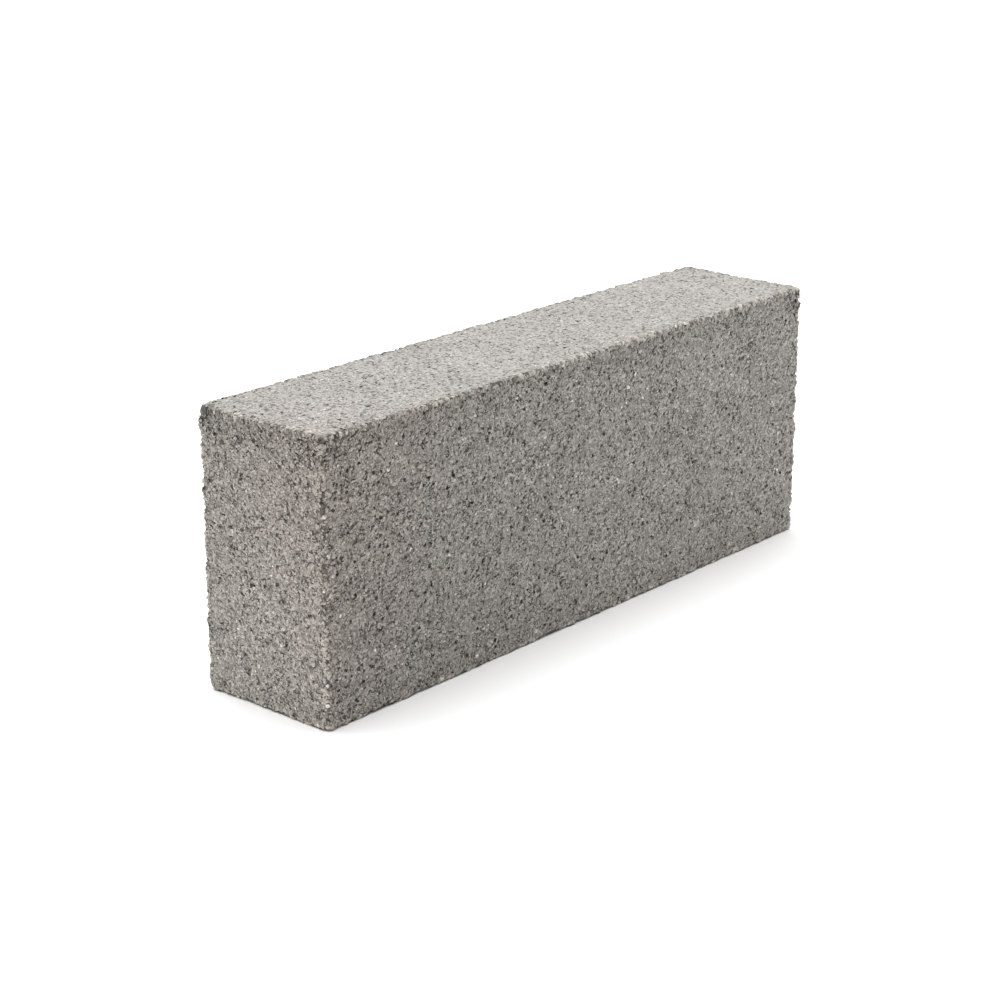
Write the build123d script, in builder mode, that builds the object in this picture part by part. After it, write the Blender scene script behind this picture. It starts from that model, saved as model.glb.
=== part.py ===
"""Solid concrete building block, cast as one piece and standing on its bed face.

The origin is at the middle of the bottom bed face. X runs along the length, Y through the thickness
and Z up. All lengths are in millimetres.
"""

import os
from math import sqrt

from build123d import *

# Driving dimensions of the block
LENGTH = 490.0
THICKNESS = 105.0
HEIGHT = 185.0

# The arrises are the long straight edges, which the grain of the mix keeps from being sharp
ARRIS_RADIUS = 4.0

# Each corner loses more grains than the arrises do, and wears to a larger ball
CORNER_RADIUS = 12.0

# The wear form stands this far off the middle of every arris, so that it touches only the corners
ARRIS_CLEARANCE = 0.2

# A rounding of radius r takes this share of r off a right-angled edge, measured along a face
round_loss_share = 1 - 1 / sqrt(2)
WEAR_GROWTH = (CORNER_RADIUS - ARRIS_RADIUS) * round_loss_share + ARRIS_CLEARANCE

middle_plane = Plane.XY.offset(HEIGHT / 2)

# The wear form is a larger box with well-rounded edges, whose rounded corners reach into the block's
with BuildPart(middle_plane) as wear_form:
    Box(LENGTH + 2 * WEAR_GROWTH, THICKNESS + 2 * WEAR_GROWTH, HEIGHT + 2 * WEAR_GROWTH)
    fillet(wear_form.edges(), radius=CORNER_RADIUS)

# The block is the mould's section, pressed to its height, with every arris eased and the corners worn
with BuildPart() as block:
    with BuildSketch(Plane.XY):
        RectangleRounded(LENGTH, THICKNESS, ARRIS_RADIUS)
    extrude(amount=HEIGHT)
    bed_faces = block.faces().filter_by(Axis.Z)
    fillet(bed_faces.edges(), radius=ARRIS_RADIUS)
    add(wear_form.part, mode=Mode.INTERSECT)

block.part.label = "block"

os.makedirs("parts", exist_ok=True)
export_step(block.part, "parts/block.step")
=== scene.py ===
"""Looks of the solid concrete block: its skin of cement paste, the crushed grains packed into every face
and arris, and the studio that shows it.

Lengths are in metres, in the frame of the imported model: X along the block, Y through its thickness, Z up,
with the origin at the middle of the bottom bed face.
"""

import logging
from dataclasses import dataclass
from enum import Enum
from math import pi, radians, sqrt

import bpy
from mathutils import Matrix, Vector


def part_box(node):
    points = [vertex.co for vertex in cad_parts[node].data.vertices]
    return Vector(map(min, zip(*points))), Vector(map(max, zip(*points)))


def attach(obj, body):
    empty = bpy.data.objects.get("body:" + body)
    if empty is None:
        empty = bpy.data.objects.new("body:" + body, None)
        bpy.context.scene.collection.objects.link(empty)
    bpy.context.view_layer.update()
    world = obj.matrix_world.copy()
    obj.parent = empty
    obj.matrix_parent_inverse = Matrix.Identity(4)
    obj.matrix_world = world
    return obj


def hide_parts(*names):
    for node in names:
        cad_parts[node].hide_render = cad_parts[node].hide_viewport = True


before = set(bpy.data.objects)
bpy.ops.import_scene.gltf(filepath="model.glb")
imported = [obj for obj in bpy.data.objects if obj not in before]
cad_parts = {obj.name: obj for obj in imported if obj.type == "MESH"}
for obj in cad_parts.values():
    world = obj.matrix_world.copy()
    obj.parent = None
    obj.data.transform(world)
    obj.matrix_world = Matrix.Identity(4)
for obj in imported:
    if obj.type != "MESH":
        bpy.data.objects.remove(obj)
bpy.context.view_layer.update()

MM = 0.001
BODY = "root"
NODE = "block"
# The map that each piece's colours are baked through
BAKE_MAP = "OFBake"
WHITE = (1.0, 1.0, 1.0)
# What a random pattern from 0 to 1 swings about, in each of its three channels
NOISE_MIDDLE = (0.5, 0.5, 0.5)
# The turn from one point to the next that spreads points evenly over a ball
GOLDEN_TURN = pi * (3 - sqrt(5))

log = logging.getLogger("concrete_block")

Socket = bpy.types.NodeSocket
Pair = tuple[float, float]
Triple = tuple[float, float, float]
Feed = Socket | float | int | bool | str | Triple | bpy.types.Material
Feeds = dict[str | int, Feed]


def live(sockets: bpy.types.bpy_prop_collection, name: str | None = None) -> Socket:
    """Finds the socket of a name, or else the first one, among those that a node has in use."""
    return next(socket for socket in sockets if socket.enabled and name in (None, socket.name))


class NodeKit:
    """Adds nodes to one node tree and links them as they are added."""

    def __init__(self, tree: bpy.types.NodeTree) -> None:
        """Keeps the tree that the nodes go into."""
        self.tree = tree

    def add(self, kind: str, feeds: Feeds | None = None, **settings: object) -> bpy.types.Node:
        """Adds one node.

        Args:
            kind: the node's type name.
            feeds: what goes into its inputs, by name or place: a socket to link or a constant.
            **settings: properties of the node.

        Returns:
            The new node.
        """
        node = self.tree.nodes.new(kind)
        for name, value in settings.items():
            setattr(node, name, value)
        for name, value in (feeds or {}).items():
            self.feed(node, name, value)
        return node

    def feed(self, node: bpy.types.Node, name: str | int, value: Feed) -> None:
        """Links a socket to a node's input, or sets the input to a constant.

        Args:
            node: the node that takes the value.
            name: the input's name or place.
            value: a socket or a constant.
        """
        socket = node.inputs[name] if isinstance(name, int) else live(node.inputs, name)
        if isinstance(value, Socket):
            self.tree.links.new(value, socket)
        else:
            socket.default_value = value

    def make(
        self, kind: str, feeds: Feeds | None = None, out: str | None = None, **settings: object
    ) -> Socket:
        """Adds one node and gives its output of a name, or else its first one."""
        return live(self.add(kind, feeds, **settings).outputs, out)

    def math(self, operation: str, *terms: Feed) -> Socket:
        """Adds a sum on numbers, worked out from left to right.

        Args:
            operation: the Math node's operation.
            *terms: what it is done to, one number or more.

        Returns:
            The result.
        """
        *earlier, last = terms
        if len(earlier) > 1:
            earlier = [self.math(operation, *earlier)]
        return self.make("ShaderNodeMath", dict(enumerate((*earlier, last))), operation=operation)

    def vector(self, operation: str, *terms: Feed) -> Socket:
        """Adds a sum on vectors, which gives a number where its operation does."""
        out = "Value" if operation in ("LENGTH", "DOT_PRODUCT") else "Vector"
        return self.make("ShaderNodeVectorMath", dict(enumerate(terms)), out, operation=operation)

    def scaled(self, vector: Feed, factor: Feed) -> Socket:
        """Multiplies a vector by a number."""
        return self.make("ShaderNodeVectorMath", {0: vector, "Scale": factor}, operation="SCALE")

    def triple(self, x: Feed, y: Feed, z: Feed) -> Socket:
        """Joins three numbers into a vector."""
        return self.make("ShaderNodeCombineXYZ", {0: x, 1: y, 2: z})

    def polar(self, reach: Socket, turn: Socket, rise: Socket) -> Socket:
        """Places a point by its reach from the upright axis, its turn about it and its rise."""
        across = (self.math("MULTIPLY", reach, self.math(way, turn)) for way in ("COSINE", "SINE"))
        return self.triple(*across, rise)

    def parts(self, vector: Socket) -> list[Socket]:
        """Splits a vector into its three numbers."""
        return list(self.add("ShaderNodeSeparateXYZ", {0: vector}).outputs)

    def ranged(self, value: Socket, start: float, end: float, low: Feed = 0.0, high: Feed = 1.0) -> Socket:
        """Maps a number's span from start to end onto low to high, and keeps it there."""
        feeds = {"Value": value, "From Min": start, "From Max": end, "To Min": low, "To Max": high}
        return self.make("ShaderNodeMapRange", feeds, interpolation_type="LINEAR")

    def noise(self, place: Socket, width: float, detail: float = 2.0, roughness: float = 0.6) -> Socket:
        """Adds a soft random pattern from 0 to 1, whose lumps have a width."""
        feeds = {"Vector": place, "Scale": 1 / width, "Detail": detail, "Roughness": roughness}
        return self.make("ShaderNodeTexNoise", feeds)

    def mixed(self, share: Socket, colour: Socket | Triple, other: Socket | Triple) -> Socket:
        """Mixes two colours, by the share that there is of the other one."""
        ends = (end if isinstance(end, Socket) else (*end, 1.0) for end in (colour, other))
        return self.make("ShaderNodeMix", dict(zip(("Factor", "A", "B"), (share, *ends))), data_type="RGBA")


class GeometryKit(NodeKit):
    """A geometry tree with named inputs, which makes one plain mesh."""

    def __init__(self, name: str, seed: int = 0) -> None:
        """Starts an empty tree.

        Args:
            name: the tree's name.
            seed: the first of the seeds that its random numbers use.
        """
        super().__init__(bpy.data.node_groups.new(name, "GeometryNodeTree"))
        self.values: dict[str, object] = {}
        self.seed = seed
        self.tree.interface.new_socket("Geometry", in_out="OUTPUT", socket_type="NodeSocketGeometry")
        self.source = self.tree.nodes.new("NodeGroupInput")

    def take(self, name: str, value: float | int) -> Socket:
        """Adds a named input.

        Args:
            name: what the input is called.
            value: the number that the modifier sets it to.

        Returns:
            The socket inside the tree.
        """
        kind = "NodeSocketInt" if isinstance(value, int) else "NodeSocketFloat"
        item = self.tree.interface.new_socket(name, in_out="INPUT", socket_type=kind)
        self.values[item.identifier] = value
        return self.source.outputs[name]

    def random(self, low: Feed, high: Feed, data_type: str = "FLOAT") -> Socket:
        """Adds a random number for each element, from a seed of its own.

        Args:
            low: the least value.
            high: the greatest value.
            data_type: FLOAT or INT.

        Returns:
            The number.
        """
        self.seed += 1
        feeds = {"Min": low, "Max": high, "Seed": self.seed}
        return self.make("FunctionNodeRandomValue", feeds, data_type=data_type)

    def store(self, geometry: Socket, name: str, value: Socket, data_type: str, domain: str) -> Socket:
        """Keeps a value under a name on a geometry, one for each element of a domain."""
        feeds = {"Geometry": geometry, "Name": name, "Value": value}
        return self.make("GeometryNodeStoreNamedAttribute", feeds, data_type=data_type, domain=domain)

    def grow(self, name: str, geometry: Socket, material: bpy.types.Material) -> bpy.types.Object:
        """Ends the tree, runs it once and keeps its result as a plain mesh.

        Args:
            name: the name of the piece.
            geometry: what the tree has made.
            material: the finish that its faces take.

        Returns:
            The piece, with no modifier left on it.
        """
        whole = self.make("GeometryNodeRealizeInstances", {"Geometry": geometry})
        dressed = self.make("GeometryNodeSetMaterial", {"Geometry": whole, "Material": material})
        self.add("NodeGroupOutput", {0: dressed})
        piece = bpy.data.objects.new(name, bpy.data.meshes.new(name))
        bpy.context.scene.collection.objects.link(piece)
        modifier = piece.modifiers.new(name, "NODES")
        modifier.node_group = self.tree
        for identifier, value in self.values.items():
            modifier[identifier] = value
        depsgraph = bpy.context.evaluated_depsgraph_get()
        mesh = bpy.data.meshes.new_from_object(piece.evaluated_get(depsgraph), depsgraph=depsgraph)
        piece.modifiers.remove(modifier)
        piece.data = mesh
        mesh.name = name
        return piece


@dataclass(frozen=True)
class BlockShape:
    """The block's own form, which its skin, grains and finishes all follow."""

    length: float
    thickness: float
    height: float
    arris_radii: Triple = (2.2 * MM, 2.2 * MM, 4.6 * MM)
    corner_radius: float = 11 * MM
    corner_growth: float = 2.5 * MM
    lump_width: float = 6 * MM
    lump_span: Pair = (0.3, 0.7)
    lump_reach: float = 8 * MM
    lump_proud: float = 1.2 * MM
    lump_hollow: float = 1.3 * MM
    break_width: float = 17 * MM
    break_span: Pair = (0.5, 0.7)
    break_depth: float = 1.3 * MM
    crumble_share: float = 0.7
    crumble_reach: float = 24 * MM
    crumble_core: float = 9 * MM
    worn_width: float = 14 * MM
    struck_reach: Pair = (3 * MM, 1 * MM)
    # How far below the top the painted shade on the sides fades in, and where it is full
    brow_shade_reach: Pair = (20 * MM, 5 * MM)
    stain_drop_share: float = 0.45

    @classmethod
    def from_frame(cls) -> "BlockShape":
        """Reads the block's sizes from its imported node."""
        low, high = (Vector(corner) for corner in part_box(NODE))
        return cls(*(high - low))

    @property
    def size(self) -> Triple:
        """The block's length, thickness and height."""
        return (self.length, self.thickness, self.height)

    @property
    def half(self) -> Vector:
        """Half of the block's size."""
        return Vector(self.size) / 2

    @property
    def middle(self) -> Triple:
        """The middle of the block."""
        return (0.0, 0.0, self.height / 2)

    def surface(self, kit: NodeKit, place: Socket) -> tuple[Socket, Socket]:
        """Moves points of the plain box onto the block, with its eased arrises and worn corners.

        Args:
            kit: the tree to build in.
            place: points of a box of the block's size, with its middle at the origin.

        Returns:
            The points on the standing block, and the direction straight out of it there.
        """
        grown = self.half + Vector.Fill(3, self.corner_growth)
        eased, outward = self.round_off(kit, place, self.half, Vector(self.arris_radii))
        worn, _ = self.round_off(kit, eased, grown, Vector.Fill(3, self.corner_radius))
        return kit.vector("ADD", worn, self.middle), outward

    @staticmethod
    def round_off(kit: NodeKit, place: Socket, half: Vector, radii: Vector) -> tuple[Socket, Socket]:
        """Pulls points that lie outside a box with rounded edges onto it.

        Args:
            kit: the tree to build in.
            place: points measured from the middle of the box.
            half: half of the box's size.
            radii: how far its edges are rounded along each axis.

        Returns:
            The moved points, and the direction straight out of the surface there.
        """
        inner = half - radii
        core = kit.vector("MAXIMUM", kit.vector("MINIMUM", place, tuple(inner)), tuple(-inner))
        reach = kit.vector("SUBTRACT", place, core)
        shares = kit.vector("DIVIDE", reach, tuple(radii))
        kept = kit.math("MINIMUM", kit.math("DIVIDE", 1.0, kit.vector("LENGTH", shares)), 1.0)
        outward = kit.vector("NORMALIZE", kit.vector("DIVIDE", shares, tuple(radii)))
        return kit.vector("ADD", core, kit.scaled(reach, kept)), outward

    def lumps(self, kit: NodeKit, place: Socket) -> Socket:
        """Makes the arrises uneven, where grains stand proud or have come away.

        Args:
            kit: the tree to build in.
            place: points of the standing block.

        Returns:
            How deep each point sinks, less than zero where it stands proud.
        """
        lump = kit.noise(place, self.lump_width)
        swell = kit.ranged(lump, *self.lump_span, -self.lump_proud, self.lump_hollow)
        broken = kit.ranged(kit.noise(place, self.break_width), *self.break_span, 0.0, self.break_depth)
        corner = self.corner(kit, place)
        crumbled = kit.ranged(corner, 0.0, self.crumble_reach, 1 + self.crumble_share, 1.0)
        around = kit.ranged(corner, self.crumble_core, self.crumble_reach, 1.0, 0.0)
        around = kit.math("SUBTRACT", around, self.struck(kit, place))
        amount = kit.math("MAXIMUM", self.wear(kit, place, self.lump_reach), around)
        return kit.math("MULTIPLY", kit.math("ADD", swell, broken), crumbled, amount)

    def inset(self, kit: NodeKit, place: Socket) -> list[Socket]:
        """Measures how far points of the standing block lie in from the nearer face along each axis."""
        centred = kit.vector("ABSOLUTE", kit.vector("SUBTRACT", place, self.middle))
        return kit.parts(kit.vector("SUBTRACT", tuple(self.half), centred))

    def corner(self, kit: NodeKit, place: Socket) -> Socket:
        """Measures how far a point lies from the nearest top corner.

        Args:
            kit: the tree to build in.
            place: points of the standing block.

        Returns:
            The greatest of its distances from the three faces that meet there.
        """
        x, y, _ = self.inset(kit, place)
        drop = kit.math("SUBTRACT", self.height, kit.parts(place)[2])
        return kit.math("MAXIMUM", x, y, drop)

    def wear(self, kit: NodeKit, place: Socket, width: float) -> Socket:
        """Tells how near a point of the block is to an arris.

        Args:
            kit: the tree to build in.
            place: points of the standing block.
            width: how far from the arris the wear ends.

        Returns:
            One on an arris, and zero past the width.
        """
        x, y, z = self.inset(kit, place)
        low = kit.math("MINIMUM", x, y)
        high = kit.math("MAXIMUM", x, y)
        second = kit.math("MAXIMUM", low, kit.math("MINIMUM", high, z))
        return kit.ranged(second, 0.0, width, 1.0, 0.0)

    def struck(self, kit: NodeKit, place: Socket) -> Socket:
        """Tells where the top bed was struck smooth: one on the bed, and zero below it."""
        below, above = (self.height - reach for reach in self.struck_reach)
        return kit.ranged(kit.parts(place)[2], below, above)

    def brow_shade(self, kit: NodeKit, place: Socket) -> Socket:
        """Tells where the sides are just below the top bed, where the finishes paint shade: one there, zero
        further down and on the bed.
        """
        below, above = (self.height - reach for reach in self.brow_shade_reach)
        return kit.math("SUBTRACT", kit.ranged(kit.parts(place)[2], below, above), self.struck(kit, place))

    def from_stain(self, kit: NodeKit, place: Socket) -> Socket:
        """Measures how far a point lies from the top corner whose brown cast runs down the arris below it.

        Args:
            kit: the tree to build in.
            place: points of the standing block.

        Returns:
            The distance, with drops counted in part.
        """
        corner = (-self.length / 2, -self.thickness / 2, self.height)
        way = kit.vector("SUBTRACT", place, corner)
        return kit.vector("LENGTH", kit.vector("MULTIPLY", way, (1.0, 1.0, self.stain_drop_share)))

    def held(self, kit: NodeKit, place: Socket) -> Socket:
        """Keeps points of the standing block within its box, as the mould did."""
        low, high = (tuple(Vector(self.middle) + sign * self.half) for sign in (-1, 1))
        return kit.vector("MAXIMUM", kit.vector("MINIMUM", place, high), low)


@dataclass(frozen=True)
class Pores:
    """The open joints and pits between the grains, the same in the shapes and in the colours, where their
    darkness is partly dust and partly painted shade.
    """

    shape: BlockShape
    lump_width: float = 3.2 * MM
    joint_width: float = 0.6 * MM
    joint_run: float = 2.3 * MM
    run_span: Pair = (0.5, 0.72)
    joint_share: float = 0.85
    patch_width: float = 24 * MM
    patch_span: Pair = (0.35, 0.65)
    patch_shares: Pair = (0.5, 1.3)
    warp: float = 2.4 * MM
    warp_width: float = 1.5 * MM
    warp_detail: float = 1.0
    worn_growth_share: float = 0.1
    pit_spacing: float = 5.5 * MM
    pit_radii: Pair = (1.15 * MM, 2.5 * MM)
    pit_bias: float = 4.0
    pit_share: float = 0.42
    worn_pit_share: float = 0.46
    soft_share: float = 0.22
    struck_joint_share: float = 0.06
    struck_pit_share: float = 0.86
    struck_pit_radius: float = 1.3 * MM
    struck_pit_growth: float = 1.25
    drift_shares: Pair = (1.08, 0.92)
    crumb_width: float = 7 * MM
    crack_width: float = 0.52 * MM
    crack_run: float = 5 * MM
    crack_span: Pair = (0.38, 0.58)
    closed_share: float = 0.01

    def warped(self, kit: NodeKit, place: Socket) -> Socket:
        """Shifts points about, so that joints and pits come out ragged.

        Args:
            kit: the tree to build in.
            place: points of the standing block.

        Returns:
            The shifted points.
        """
        feeds = {"Vector": place, "Scale": 1 / self.warp_width, "Detail": self.warp_detail}
        shift = kit.vector("SUBTRACT", kit.make("ShaderNodeTexNoise", feeds, "Color"), NOISE_MIDDLE)
        return kit.vector("ADD", place, kit.scaled(shift, self.warp))

    @staticmethod
    def swell(kit: NodeKit, ragged: Socket, width: float) -> Socket:
        """Tells how far a point lies from the nearest joint between two lumps.

        Args:
            kit: the tree to build in.
            ragged: the shifted points.
            width: the size of the lumps.

        Returns:
            The distance.
        """
        feeds = {"Vector": ragged, "Scale": 1 / width}
        edge = kit.make("ShaderNodeTexVoronoi", feeds, "Distance", feature="DISTANCE_TO_EDGE")
        return kit.math("MULTIPLY", edge, width)

    def opening(self, kit: NodeKit, distance: Socket, width: Socket, most: Socket) -> Socket:
        """Tells how deep a point lies in an opening, from its distance to the middle."""
        inside = kit.math("SUBTRACT", 1.0, kit.math("DIVIDE", distance, width))
        return kit.ranged(inside, 0.0, self.soft_share, 0.0, most)

    def crack(self, kit: NodeKit, place: Socket, ragged: Socket) -> Socket:
        """Opens cracks between the larger crumbs round the top corners.

        Args:
            kit: the tree to build in.
            place: points of the standing block.
            ragged: the shifted points.

        Returns:
            Zero away from the cracks, and one in the middle of each.
        """
        shape = self.shape
        near = kit.ranged(shape.corner(kit, place), shape.crumble_core, shape.crumble_reach, 1.0, 0.0)
        near = kit.math("SUBTRACT", near, shape.struck(kit, place))
        run = kit.ranged(kit.noise(place, self.crack_run), *self.crack_span, self.closed_share, 1.0)
        width = kit.math("MULTIPLY", kit.math("MAXIMUM", near, self.closed_share), run, self.crack_width)
        is_near = kit.math("GREATER_THAN", near, self.closed_share)
        return self.opening(kit, self.swell(kit, ragged, self.crumb_width), width, is_near)

    def depth(self, kit: NodeKit, place: Socket) -> Socket:
        """Tells how deep a point lies in a joint or a pit.

        Args:
            kit: the tree to build in.
            place: points of the standing block.

        Returns:
            Zero on the grains, and one at the middle of an opening.
        """
        ragged = self.warped(kit, place)
        struck = self.shape.struck(kit, place)
        half = self.shape.length / 2
        drift = kit.ranged(kit.parts(place)[0], -half, half, *self.drift_shares)
        patch = kit.ranged(kit.noise(place, self.patch_width), *self.patch_span, *self.patch_shares)
        run = kit.ranged(kit.noise(place, self.joint_run), *self.run_span, self.closed_share, 1.0)
        wear = self.shape.wear(kit, place, self.shape.worn_width)
        worn = kit.ranged(wear, 0.0, 1.0, 1.0, 1.0 + self.worn_growth_share)
        width = kit.math("MULTIPLY", patch, run, worn, drift, self.joint_width)
        closed = kit.ranged(struck, 0.0, 1.0, self.joint_share, self.joint_share * self.struck_joint_share)
        joint = self.opening(kit, self.swell(kit, ragged, self.lump_width), width, closed)
        cells = kit.add("ShaderNodeTexVoronoi", {"Vector": ragged, "Scale": 1 / self.pit_spacing})
        chance, size, _ = kit.parts(live(cells.outputs, "Color"))
        share = kit.ranged(wear, 0.0, 1.0, self.pit_share, self.worn_pit_share)
        more = kit.ranged(struck, 0.0, 1.0, 1.0, self.struck_pit_growth)
        is_open = kit.math("LESS_THAN", chance, kit.math("MULTIPLY", share, more))
        radius = kit.ranged(kit.math("POWER", size, self.pit_bias), 0.0, 1.0, *self.pit_radii)
        smaller = kit.ranged(struck, 0.0, 1.0, 1.0, self.struck_pit_share)
        most = kit.ranged(struck, 0.0, 1.0, self.pit_radii[1], self.struck_pit_radius)
        radius = kit.math("MINIMUM", kit.math("MULTIPLY", radius, smaller), most)
        distance = kit.math("MULTIPLY", live(cells.outputs, "Distance"), self.pit_spacing)
        pit = self.opening(kit, distance, kit.math("MULTIPLY", radius, drift), is_open)
        return kit.math("MAXIMUM", joint, self.crack(kit, place, ragged), pit)


@dataclass(frozen=True)
class Finish:
    """What every finish of the block has: rough, speckled, and painted dark in the pores, partly as dust
    and partly as painted shade.
    """

    name: str
    shape: BlockShape
    pores: Pores
    # Painted near black in the pores, joints and cracks: partly dust, partly painted shade in the openings
    pore_dust_and_shade: Triple = (0.05, 0.046, 0.04)
    pore_share: float = 1.0
    struck_pore_share: float = 0.75
    noise_span: Pair = (0.25, 0.75)
    speckle_width: float = 1.2 * MM
    speckle_shares: Pair = (0.28, 0.47)
    speckle_drift: Pair = (1.2, 0.68)
    cloud_width: float = 45 * MM
    cloud: float = 0.07
    # Painted light: a brightness ramp from the near end to the far end, lighter towards the far end as the
    # light falls there
    drift: Pair = (0.945, 1.022)
    # Painted shade: how much darker the sides are just below the top bed
    brow_shade: float = 0.1
    stain: Triple = (1.04, 0.996, 0.969)
    stain_reach: float = 150 * MM
    bump_height: float = 0.19 * MM
    pore_bump: float = 0.4 * MM
    least_roughness: float = 0.85
    specular: float = 0.2

    def colour(self, kit: NodeKit, place: Socket) -> Socket:
        """Gives the clean colour of the surface at points of the standing block."""
        raise NotImplementedError

    def material(self) -> bpy.types.Material:
        """Builds the finish.

        Returns:
            The material.
        """
        finish = bpy.data.materials.new(self.name)
        finish.use_nodes = True
        kit = NodeKit(finish.node_tree)
        shader = finish.node_tree.nodes["Principled BSDF"]
        shader.inputs["Specular IOR Level"].default_value = self.specular
        place = kit.make("ShaderNodeTexCoord", out="Object")
        speckle = kit.noise(place, self.speckle_width)
        clean = kit.scaled(self.colour(kit, place), self.gain(kit, place, speckle))
        stained = kit.ranged(self.shape.from_stain(kit, place), 0.0, self.stain_reach, 1.0, 0.0)
        clean = kit.vector("MULTIPLY", clean, kit.mixed(stained, WHITE, self.stain))
        struck = self.shape.struck(kit, place)
        share = kit.ranged(struck, 0.0, 1.0, self.pore_share, self.pore_share * self.struck_pore_share)
        # The pores darken the colour: partly dust, partly painted shade
        dark = kit.math("MULTIPLY", self.pores.depth(kit, place), share)
        kit.feed(shader, "Base Color", kit.mixed(dark, clean, self.pore_dust_and_shade))
        kit.feed(shader, "Roughness", kit.ranged(speckle, *self.noise_span, 1.0, self.least_roughness))
        proud = kit.math("MULTIPLY", speckle, self.bump_height)
        height = kit.math("SUBTRACT", proud, kit.math("MULTIPLY", dark, self.pore_bump))
        kit.feed(shader, "Normal", kit.make("ShaderNodeBump", {"Height": height, "Distance": 1.0}))
        return finish

    def gain(self, kit: NodeKit, place: Socket, speckle: Socket) -> Socket:
        """Works out how bright the surface is: speckled, cloudy, with painted light that brightens it
        towards the far end, and painted shade that darkens it below the top bed.

        Args:
            kit: the tree to build in.
            place: points of the standing block.
            speckle: the fine random pattern.

        Returns:
            What the clean colour is multiplied by.
        """
        half = self.shape.length / 2
        along = kit.parts(place)[0]
        fade = kit.ranged(along, -half, half, *self.speckle_drift)
        darker, brighter = (kit.math("MULTIPLY", fade, share) for share in self.speckle_shares)
        low, high = kit.math("SUBTRACT", 1.0, darker), kit.math("ADD", 1.0, brighter)
        fine = kit.ranged(speckle, *self.noise_span, low, high)
        cloud = kit.noise(place, self.cloud_width)
        cloud = kit.ranged(cloud, *self.noise_span, 1 - self.cloud, 1 + self.cloud)
        # Painted light: lighter towards the far end of the block
        drift = kit.ranged(along, -half, half, *self.drift)
        # Painted shade on the sides below the top bed
        brow_shade = kit.ranged(self.shape.brow_shade(kit, place), 0.0, 1.0, 1.0, 1 - self.brow_shade)
        return kit.math("MULTIPLY", fine, cloud, drift, brow_shade)


@dataclass(frozen=True)
class GrainFinish(Finish):
    """Crushed stone under a film of cement, with a tone for each grain."""

    dark: Triple = (0.2145, 0.2036, 0.188)
    grey: Triple = (0.2805, 0.267, 0.2463)
    light: Triple = (0.402, 0.383, 0.3526)
    pale: Triple = (0.66, 0.63, 0.59)
    warm: Triple = (0.365, 0.337, 0.3)
    warm_share: float = 0.06
    worn_warm_share: float = 0.5
    dark_share: float = 0.15
    pale_share: float = 0.005

    def colour(self, kit: NodeKit, place: Socket) -> Socket:
        """Gives each grain its own tone, and more warm ones near the arrises.

        Args:
            kit: the tree to build in.
            place: points of the standing block.

        Returns:
            The colour.
        """
        tone = kit.make("ShaderNodeAttribute", out="Fac", attribute_name="grain_tone")
        ramp = kit.add("ShaderNodeValToRGB", {"Fac": tone})
        stops = (
            (0.0, self.dark),
            (self.dark_share, self.grey),
            (1 - 2 * self.pale_share, self.light),
            (1 - self.pale_share, self.pale),
        )
        elements = ramp.color_ramp.elements
        for at, _ in stops[1:-1]:
            elements.new(at)
        for element, (at, colour) in zip(elements, stops):
            element.position = at
            element.color = (*colour, 1.0)
        hue = kit.make("ShaderNodeAttribute", out="Fac", attribute_name="grain_hue")
        wear = self.shape.wear(kit, place, self.shape.worn_width)
        share = kit.ranged(wear, 0.0, 1.0, self.warm_share, self.worn_warm_share)
        is_warm = kit.math("LESS_THAN", hue, share)
        return kit.mixed(is_warm, live(ramp.outputs, "Color"), self.warm)


@dataclass(frozen=True)
class PasteFinish(Finish):
    """The cement paste that binds the grains."""

    # The darker paste grey, seen in the gaps and pits, is partly painted shade
    deep: Triple = (0.19, 0.181, 0.166)
    shallow: Triple = (0.325, 0.31, 0.284)
    # Painted shade: the paste along the arrises is near black, for the shade in the gaps between the crumbs
    worn: Triple = (0.09, 0.083, 0.073)
    gap_shade_reach: float = 5 * MM
    struck: Triple = (0.33, 0.318, 0.3)
    patch_width: float = 2.2 * MM
    patch_span: Pair = (0.3, 0.7)

    def colour(self, kit: NodeKit, place: Socket) -> Socket:
        """Mixes two greys in small patches, the darker one partly painted shade in the gaps and pits where
        the paste shows, pale on the top bed, and near black along the arrises as painted shade in the gaps
        between the crumbs.

        Args:
            kit: the tree to build in.
            place: points of the standing block.

        Returns:
            The colour.
        """
        patch = kit.ranged(kit.noise(place, self.patch_width), *self.patch_span)
        paste = kit.mixed(patch, self.deep, self.shallow)
        paste = kit.mixed(self.shape.struck(kit, place), paste, self.struck)
        # Painted shade in the gaps along the arrises
        return kit.mixed(self.shape.wear(kit, place, self.gap_shade_reach), paste, self.worn)


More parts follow.
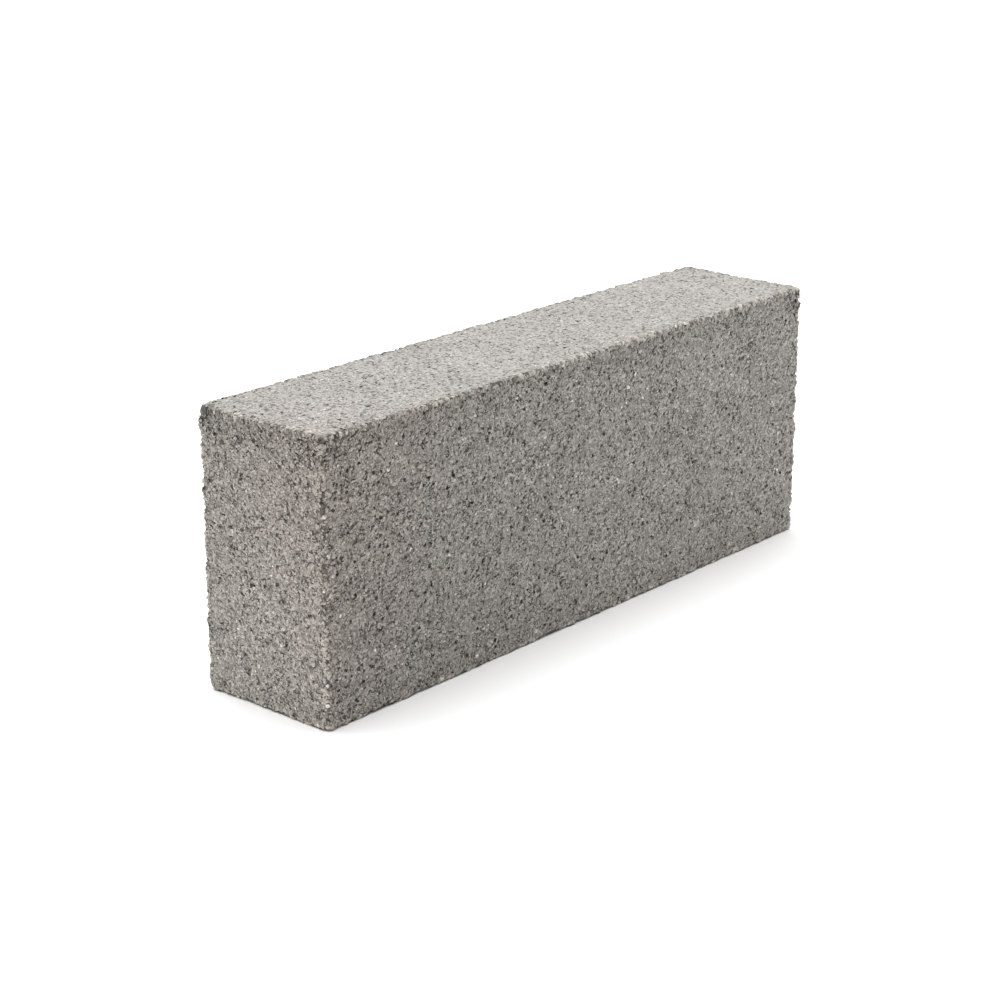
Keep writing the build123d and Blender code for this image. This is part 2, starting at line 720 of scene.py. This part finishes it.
@dataclass
class BlockSkin:
    """The closed surface of cement paste that the grains sit in."""

    shape: BlockShape
    pores: Pores
    finish: Finish
    spacing: float = 1.85 * MM
    recess: float = 0.45 * MM
    struck_recess: float = 0.2 * MM
    relief: float = 0.35 * MM
    relief_width: float = 5 * MM
    pore_depth: float = 1.6 * MM
    chart_gap: float = 4 * MM

    def build(self) -> bpy.types.Object:
        """Makes the skin.

        Returns:
            The piece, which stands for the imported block.
        """
        kit = GeometryKit("block_skin")
        shape = self.shape
        spacing = kit.take("Spacing", self.spacing)
        counts = {
            f"Vertices {axis}": kit.math("ROUND", kit.math("DIVIDE", side, spacing))
            for axis, side in zip("XYZ", shape.size)
        }
        box = kit.make("GeometryNodeMeshCube", {"Size": shape.size, **counts}, "Mesh")
        mapped = kit.store(box, BAKE_MAP, self.charts(kit), "FLOAT2", "CORNER")
        place, outward = shape.surface(kit, kit.make("GeometryNodeInputPosition"))
        relief = kit.math("MULTIPLY", kit.noise(place, self.relief_width), kit.take("Relief", self.relief))
        hollow = kit.math("MULTIPLY", self.pores.depth(kit, place), kit.take("Pore Depth", self.pore_depth))
        recesses = kit.take("Recess", self.recess), kit.take("Struck Recess", self.struck_recess)
        recess = kit.ranged(shape.struck(kit, place), 0.0, 1.0, *recesses)
        sink = kit.math("ADD", relief, hollow, recess, shape.lumps(kit, place))
        sunk = kit.vector("SUBTRACT", place, kit.scaled(outward, sink))
        moved = kit.make("GeometryNodeSetPosition", {"Geometry": mapped, "Position": shape.held(kit, sunk)})
        smooth = kit.make("GeometryNodeSetShadeSmooth", {"Geometry": moved})
        return kit.grow("block_skin", smooth, self.finish.material())

    def charts(self, kit: GeometryKit) -> Socket:
        """Lays the six faces of the box side by side in a square map.

        Args:
            kit: the tree to build in.

        Returns:
            The place of each face corner in the map.
        """
        shape, gap = self.shape, self.chart_gap
        tall, narrow = shape.height + gap, shape.thickness + gap
        beds_from = 2 * tall + gap
        ends_from = beds_from + 2 * narrow
        normal = kit.make("GeometryNodeInputNormal")
        facing = kit.make("GeometryNodeFieldOnDomain", {0: normal}, data_type="FLOAT_VECTOR", domain="FACE")
        ways = kit.parts(facing)
        x, y, z = kit.parts(kit.vector("ADD", kit.make("GeometryNodeInputPosition"), tuple(shape.half)))
        along = kit.math("ADD", x, gap)
        spots = (
            kit.triple(self.shifted(kit, z, gap, ways[0], tall), kit.math("ADD", y, ends_from), 0.0),
            kit.triple(along, self.shifted(kit, z, gap, ways[1], tall), 0.0),
            kit.triple(along, self.shifted(kit, y, beds_from, ways[2], narrow), 0.0),
        )
        end, side, bed = (kit.scaled(spot, kit.math("ABSOLUTE", way)) for spot, way in zip(spots, ways))
        spot = kit.vector("ADD", kit.vector("ADD", side, bed), end)
        return kit.scaled(spot, 1 / (ends_from + narrow))

    @staticmethod
    def shifted(kit: GeometryKit, value: Socket, start: float, way: Socket, step: float) -> Socket:
        """Moves a chart to its start in the map, and a step further where its face looks ahead."""
        ahead = kit.math("GREATER_THAN", way, 0.0)
        return kit.math("ADD", value, start, kit.math("MULTIPLY", ahead, step))


class Ground(Enum):
    """The parts of the block's surface that carry grains of their own."""

    FRONT = "front_grains"
    BACK = "back_grains"
    TOP = "top_grains"
    BOTTOM = "bottom_grains"
    ENDS = "end_grains"
    ARRISES = "arris_grains"


# The way that a ground looks, where it looks only one way
WAYS = {
    Ground.FRONT: (0.0, -1.0, 0.0),
    Ground.BACK: (0.0, 1.0, 0.0),
    Ground.TOP: (0.0, 0.0, 1.0),
    Ground.BOTTOM: (0.0, 0.0, -1.0),
}


class GrainForm(Enum):
    """The two forms of grain."""

    CHIP = "pressed flat by the mould"
    PEBBLE = "rounded by wear"


@dataclass
class GrainBed:
    """The crushed grains of one part of the surface, pressed flush by the mould."""

    shape: BlockShape
    pores: Pores
    ground: Ground
    finish: bpy.types.Material
    seed: int
    spacing: float = 1.5 * MM
    crowding: float = 4.0
    open_depth: float = 0.75
    least_width: float = 1.7 * MM
    most_width: float = 4.0 * MM
    tilt: float = radians(8)
    least_depth: float = -0.1 * MM
    most_depth: float = 0.25 * MM
    missing_share: float = 0.02
    size_bias: float = 2.0
    corner_growth: float = 0.0
    chip_kinds: int = 10
    flat_share: float = 0.94
    form: GrainForm = GrainForm.CHIP
    rim_corners: tuple[int, int] = (4, 5)
    inner_corners: int = 2
    turn_jitter: float = 0.35
    pebble_points: int = 13
    pebble_shares: Pair = (0.85, 1.1)
    rim_shares: Pair = (0.8, 1.15)
    inner_shares: Pair = (0.0, 0.4)
    crown_shares: Pair = (0.15, 0.5)
    tip_shares: Pair = (0.8, 1.2)
    stretch_shares: Pair = (0.8, 1.2)
    cell_share: float = 0.36
    cell_middle: Triple = (0.5, 0.5, 0.0)

    def belongs(self, kit: GeometryKit, outward: Socket) -> Socket:
        """Tells which points are on this ground.

        Args:
            kit: the tree to build in.
            outward: the direction straight out of the block.

        Returns:
            One for a point of this ground, zero elsewhere.
        """
        flat = self.flat_share
        if self.ground in WAYS:
            return kit.math("GREATER_THAN", kit.vector("DOT_PRODUCT", outward, WAYS[self.ground]), flat)
        x, y, z = kit.parts(kit.vector("ABSOLUTE", outward))
        if self.ground is Ground.ENDS:
            return kit.math("GREATER_THAN", x, flat)
        return kit.math("LESS_THAN", kit.math("MAXIMUM", x, y, z), flat)

    def grain(self, kit: GeometryKit, number: int) -> Socket:
        """Makes one grain of about unit radius, with its top at height zero.

        Args:
            kit: the tree to build in.
            number: which of the kinds of grain it is.

        Returns:
            The grain as an instance.
        """
        count, place = self.pebble(kit) if self.form is GrainForm.PEBBLE else self.chip(kit, number)
        points = kit.make("GeometryNodePoints", {"Count": count, "Position": place})
        hull = kit.make("GeometryNodeConvexHull", {"Geometry": points})
        corner = kit.make("GeometryNodeInputPosition")
        named = kit.store(hull, "grain_place", corner, "FLOAT_VECTOR", "POINT")
        return kit.make("GeometryNodeGeometryToInstance", {0: named})

    def chip(self, kit: GeometryKit, number: int) -> tuple[int, Socket]:
        """Places the corners of a crushed grain: a rim, a crown above it and a tip below.

        Args:
            kit: the tree to build in.
            number: which of the kinds of grain it is.

        Returns:
            How many corners there are, and the place of each.
        """
        rim = self.rim_corners[number % len(self.rim_corners)]
        index = kit.make("GeometryNodeInputIndex")
        inner = kit.math("GREATER_THAN", index, rim - 1)
        is_tip = kit.math("GREATER_THAN", index, rim)
        jitter = kit.random(-self.turn_jitter, self.turn_jitter)
        turn = kit.math("ADD", kit.math("MULTIPLY", index, 2 * pi / rim), jitter)
        reach = kit.make(
            "ShaderNodeMix",
            {"Factor": inner, "A": kit.random(*self.rim_shares), "B": kit.random(*self.inner_shares)},
        )
        fall = kit.math("MULTIPLY", kit.math("SUBTRACT", 1.0, inner), kit.random(*self.crown_shares))
        drop = kit.math("MULTIPLY", is_tip, kit.random(*self.tip_shares))
        rise = kit.math("MULTIPLY", kit.math("ADD", fall, drop), -1.0)
        return rim + self.inner_corners, kit.polar(reach, turn, rise)

    def pebble(self, kit: GeometryKit) -> tuple[int, Socket]:
        """Spreads the corners of a rounded grain over a ball.

        Args:
            kit: the tree to build in.

        Returns:
            How many corners there are, and the place of each.
        """
        index = kit.make("GeometryNodeInputIndex")
        count = self.pebble_points
        rise = kit.math("SUBTRACT", 1 - 1 / count, kit.math("MULTIPLY", index, 2 / count))
        reach = kit.math("SQRT", kit.math("SUBTRACT", 1.0, kit.math("MULTIPLY", rise, rise)))
        turn = kit.math("MULTIPLY", index, GOLDEN_TURN)
        ball = kit.scaled(kit.polar(reach, turn, rise), kit.random(*self.pebble_shares))
        return count, kit.vector("ADD", ball, (0.0, 0.0, -1.0))

    def seats(self, kit: GeometryKit) -> tuple[Socket, Socket]:
        """Scatters the points where grains sit, and leaves out the pores.

        Args:
            kit: the tree to build in.

        Returns:
            The seats, and the direction straight out of the block at each.
        """
        spacing = kit.take("Spacing", self.spacing)
        box = kit.make("GeometryNodeMeshCube", {"Size": self.shape.size}, "Mesh")
        crowd = kit.math("DIVIDE", self.crowding, kit.math("MULTIPLY", spacing, spacing))
        seed = kit.take("Seed", self.seed)
        points = kit.make(
            "GeometryNodeDistributePointsOnFaces",
            {"Mesh": box, "Distance Min": spacing, "Density Max": crowd, "Seed": seed},
            distribute_method="POISSON",
        )
        place, outward = self.shape.surface(kit, kit.make("GeometryNodeInputPosition"))
        kept = kit.math("GREATER_THAN", kit.random(0.0, 1.0), self.missing_share)
        solid = kit.math("LESS_THAN", self.pores.depth(kit, place), self.open_depth)
        kept = kit.math("MULTIPLY", kept, solid, self.belongs(kit, outward))
        others = kit.math("SUBTRACT", 1.0, kept)
        ours = kit.make("GeometryNodeDeleteGeometry", {"Geometry": points, "Selection": others})
        bound = kit.add("GeometryNodeCaptureAttribute", {"Geometry": ours})
        bound.capture_items.new("VECTOR", "outward")
        kit.feed(bound, "outward", outward)
        least, most = kit.take("Least Depth", self.least_depth), kit.take("Most Depth", self.most_depth)
        sink = kit.math("ADD", kit.random(least, most), self.shape.lumps(kit, place))
        sunk = kit.vector("SUBTRACT", place, kit.scaled(outward, sink))
        feeds = {"Geometry": live(bound.outputs, "Geometry"), "Position": sunk}
        return kit.make("GeometryNodeSetPosition", feeds), live(bound.outputs, "outward")

    def build(self) -> bpy.types.Object:
        """Packs the grains.

        Returns:
            The piece.
        """
        name = self.ground.value
        kit = GeometryKit(name, self.seed)
        seats, outward = self.seats(kit)
        chips = kit.add("GeometryNodeJoinGeometry")
        for number in range(self.chip_kinds):
            kit.tree.links.new(self.grain(kit, number), chips.inputs[0])
        tilt = self.tilt
        lean = kit.triple(kit.random(-tilt, tilt), kit.random(-tilt, tilt), kit.random(-pi, pi))
        upright = kit.make("FunctionNodeAlignRotationToVector", {"Vector": outward}, axis="Z")
        turned = kit.make(
            "FunctionNodeRotateRotation",
            {0: upright, 1: kit.make("FunctionNodeEulerToRotation", {0: lean})},
            rotation_space="LOCAL",
        )
        least, most = kit.take("Least Width", self.least_width), kit.take("Most Width", self.most_width)
        share = kit.math("POWER", kit.random(0.0, 1.0), self.size_bias)
        corner = self.shape.corner(kit, kit.make("GeometryNodeInputPosition"))
        growth = kit.ranged(corner, 0.0, self.shape.crumble_reach, 1 + self.corner_growth, 1.0)
        width = kit.math("MULTIPLY", kit.ranged(share, 0.0, 1.0, least, most), growth)
        radius = kit.math("DIVIDE", width, 2.0)
        stretched = (kit.math("MULTIPLY", radius, kit.random(*self.stretch_shares)) for _ in range(2))
        scale = kit.triple(*stretched, radius)
        packed = kit.make(
            "GeometryNodeInstanceOnPoints",
            {
                "Points": seats,
                "Instance": live(chips.outputs),
                "Pick Instance": True,
                "Instance Index": kit.random(0, self.chip_kinds - 1, "INT"),
                "Rotation": turned,
                "Scale": scale,
            },
        )
        for label in ("grain_tone", "grain_hue"):
            packed = kit.store(packed, label, kit.random(0.0, 1.0), "FLOAT", "INSTANCE")
        packed = self.cells(kit, packed)
        held = self.shape.held(kit, kit.make("GeometryNodeInputPosition"))
        pressed = kit.make("GeometryNodeSetPosition", {"Geometry": packed, "Position": held})
        return kit.grow(name, pressed, self.finish)

    def cells(self, kit: GeometryKit, packed: Socket) -> Socket:
        """Gives each grain a square of its own in the map, and makes the grains one mesh.

        Args:
            kit: the tree to build in.
            packed: the grains as instances.

        Returns:
            The grains as a mesh with its map.
        """
        sizes = kit.add("GeometryNodeAttributeDomainSize", {0: packed}, component="INSTANCES")
        across = kit.math("CEIL", kit.math("SQRT", live(sizes.outputs, "Instance Count")))
        index = kit.make("GeometryNodeInputIndex")
        row = kit.math("FLOOR", kit.math("DIVIDE", index, across))
        column = kit.math("SUBTRACT", index, kit.math("MULTIPLY", row, across))
        corner = kit.vector("ADD", kit.triple(column, row, 0.0), self.cell_middle)
        packed = kit.store(packed, "map_cell", corner, "FLOAT_VECTOR", "INSTANCE")
        mesh = kit.make("GeometryNodeRealizeInstances", {"Geometry": packed})
        labels = ("map_cell", "grain_place")
        cell, place = (
            kit.make("GeometryNodeInputNamedAttribute", {"Name": label}, data_type="FLOAT_VECTOR")
            for label in labels
        )
        spot = kit.vector("ADD", cell, kit.scaled(place, self.cell_share))
        spot = kit.scaled(spot, kit.math("DIVIDE", 1.0, across))
        mesh = kit.store(mesh, BAKE_MAP, spot, "FLOAT2", "CORNER")
        for label in labels:
            mesh = kit.make("GeometryNodeRemoveAttribute", {"Geometry": mesh, "Name": label})
        return mesh


@dataclass(frozen=True)
class SideLight:
    """A weak soft light that stands low beside the block, so that the floor hardly takes it."""

    name: str
    place: Triple
    aim: Triple
    power: float
    width: float
    height: float = 0.06

    def build(self) -> None:
        """Stands the light where it belongs."""
        lamp = bpy.data.lights.new(self.name, "AREA")
        lamp.energy = self.power
        lamp.shape = "RECTANGLE"
        lamp.size, lamp.size_y = self.width, self.height
        side = bpy.data.objects.new(self.name, lamp)
        side.location = self.place
        sight = Vector(self.aim) - Vector(self.place)
        side.rotation_euler = sight.to_track_quat("-Z", "Y").to_euler()
        side.visible_camera = False
        bpy.context.scene.collection.objects.link(side)


@dataclass(frozen=True)
class Studio:
    """The white floor, the soft light from above and the camera at the photograph's angle."""

    camera_place: Triple = (-1.1518, -0.9697, 0.5788)
    camera_aim: Triple = (-0.01619, 0.00989, 0.07534)
    lens: float = 84.63
    sensor: float = 36.0
    floor_side: float = 80.0
    floor_colour: Triple = (0.88, 0.88, 0.88)
    key_from: Triple = (0.03, 0.15, 1.0)
    key_strength: float = 5.0
    key_spread: float = radians(75)
    sky_strength: float = 0.15
    sides: tuple[SideLight, ...] = (
        SideLight("right", place=(0.3, -0.6, 0.04), aim=(0.08, 0.0, 0.06), power=0.76, width=0.3),
        SideLight(
            "left",
            place=(-0.5, -0.025, 0.025),
            aim=(-0.24, 0.0, 0.02),
            power=0.234,
            width=0.14,
            height=0.04,
        ),
    )

    def build(self) -> None:
        """Sets up the floor, the lights and the camera."""
        self.floor()
        self.sky()
        self.key()
        for side in self.sides:
            side.build()
        self.camera()
        bpy.context.scene.view_settings.view_transform = "Standard"

    def floor(self) -> None:
        """Lays the floor under the block."""
        reach = self.floor_side / 2
        corners = [(-reach, -reach, 0.0), (reach, -reach, 0.0), (reach, reach, 0.0), (-reach, reach, 0.0)]
        mesh = bpy.data.meshes.new("floor")
        mesh.from_pydata(corners, [], [(0, 1, 2, 3)])
        floor = bpy.data.objects.new("floor", mesh)
        bpy.context.scene.collection.objects.link(floor)
        paper = bpy.data.materials.new("floor_paper")
        paper.use_nodes = True
        shader = paper.node_tree.nodes["Principled BSDF"]
        shader.inputs["Base Color"].default_value = (*self.floor_colour, 1.0)
        shader.inputs["Roughness"].default_value = 1.0
        shader.inputs["Specular IOR Level"].default_value = 0.0
        mesh.materials.append(paper)

    def sky(self) -> None:
        """Fills the shadows evenly, behind a white backdrop."""
        world = bpy.data.worlds.new("studio")
        bpy.context.scene.world = world
        world.use_nodes = True
        kit = NodeKit(world.node_tree)
        seen = kit.make("ShaderNodeLightPath", out="Is Camera Ray")
        strength = kit.make("ShaderNodeMix", {"Factor": seen, "A": self.sky_strength, "B": 1.0})
        back = world.node_tree.nodes["Background"]
        back.inputs["Color"].default_value = (*WHITE, 1.0)
        kit.feed(back, "Strength", strength)

    def key(self) -> None:
        """Hangs the broad soft light above the block."""
        lamp = bpy.data.lights.new("key", "SUN")
        lamp.energy = self.key_strength
        lamp.angle = self.key_spread
        key = bpy.data.objects.new("key", lamp)
        key.rotation_euler = Vector(self.key_from).to_track_quat("Z", "Y").to_euler()
        bpy.context.scene.collection.objects.link(key)

    def camera(self) -> None:
        """Stands the camera where the photograph was taken from."""
        lens = bpy.data.cameras.new("camera")
        lens.lens = self.lens
        lens.sensor_width = self.sensor
        lens.dof.use_dof = False
        camera = bpy.data.objects.new("camera", lens)
        camera.location = self.camera_place
        sight = Vector(self.camera_aim) - Vector(self.camera_place)
        camera.rotation_euler = sight.to_track_quat("-Z", "Y").to_euler()
        bpy.context.scene.collection.objects.link(camera)
        bpy.context.scene.camera = camera


def report(piece: bpy.types.Object) -> None:
    """Logs one finished piece with its number of triangles."""
    triangles = sum(len(face.vertices) - 2 for face in piece.data.polygons)
    log.info("%s: %d triangles", piece.name, triangles)


def main() -> None:
    """Builds the skin, the grains and the studio."""
    logging.basicConfig(level=logging.INFO, format="%(name)s: %(message)s")
    shape = BlockShape.from_frame()
    pores = Pores(shape)
    skin = BlockSkin(shape, pores, PasteFinish("cement_paste", shape, pores)).build()
    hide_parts(NODE)
    pieces = [skin]
    stone = GrainFinish("crushed_stone", shape, pores).material()
    # Grains along the arrises: partly paler worn grains, partly painted highlight, lighter where the
    # arrises catch the light
    worn = GrainFinish(
        "worn_stone_and_painted_highlight",
        shape,
        pores,
        pore_share=0.3,
        dark=(0.1, 0.094, 0.085),
        grey=(0.335, 0.317, 0.292),
        light=(0.58, 0.551, 0.508),
        warm=(0.42, 0.388, 0.346),
        pale=(0.62, 0.59, 0.55),
        pale_share=0.006,
    ).material()
    struck = GrainFinish(
        "struck_stone",
        shape,
        pores,
        speckle_width=1.9 * MM,
        speckle_shares=(0.5, 0.76),
        speckle_drift=(1.25, 0.35),
        # Painted light: the top bed darker at the near end and lighter towards the far end, where it
        # catches a sheen
        drift=(0.74, 0.925),
        bump_height=0.24 * MM,
        stain=WHITE,
        dark=(0.19, 0.183, 0.173),
        grey=(0.285, 0.2755, 0.26),
        light=(0.49, 0.4735, 0.446),
        pale=(0.6, 0.584, 0.555),
        warm_share=0.03,
    ).material()
    beds = [
        GrainBed(shape, pores, Ground.FRONT, stone, seed=1000),
        GrainBed(shape, pores, Ground.BACK, stone, seed=2000),
        GrainBed(
            shape,
            pores,
            Ground.TOP,
            struck,
            seed=3000,
            tilt=radians(7),
            least_width=2.0 * MM,
            most_depth=0.3 * MM,
            missing_share=0.0,
            flat_share=0.45,
            crown_shares=(0.1, 0.42),
        ),
        GrainBed(shape, pores, Ground.BOTTOM, stone, seed=6000),
        GrainBed(shape, pores, Ground.ENDS, stone, seed=4000),
        GrainBed(
            shape,
            pores,
            Ground.ARRISES,
            worn,
            seed=5000,
            form=GrainForm.PEBBLE,
            spacing=2.2 * MM,
            least_width=2.6 * MM,
            most_width=6.5 * MM,
            size_bias=1.3,
            least_depth=-0.8 * MM,
            most_depth=0.5 * MM,
            missing_share=0.22,
            corner_growth=0.5,
            flat_share=0.985,
        ),
    ]
    pieces += [bed.build() for bed in beds]
    for piece in pieces:
        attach(piece, BODY)
        report(piece)
    Studio().build()


if __name__ == "__main__":
    main()
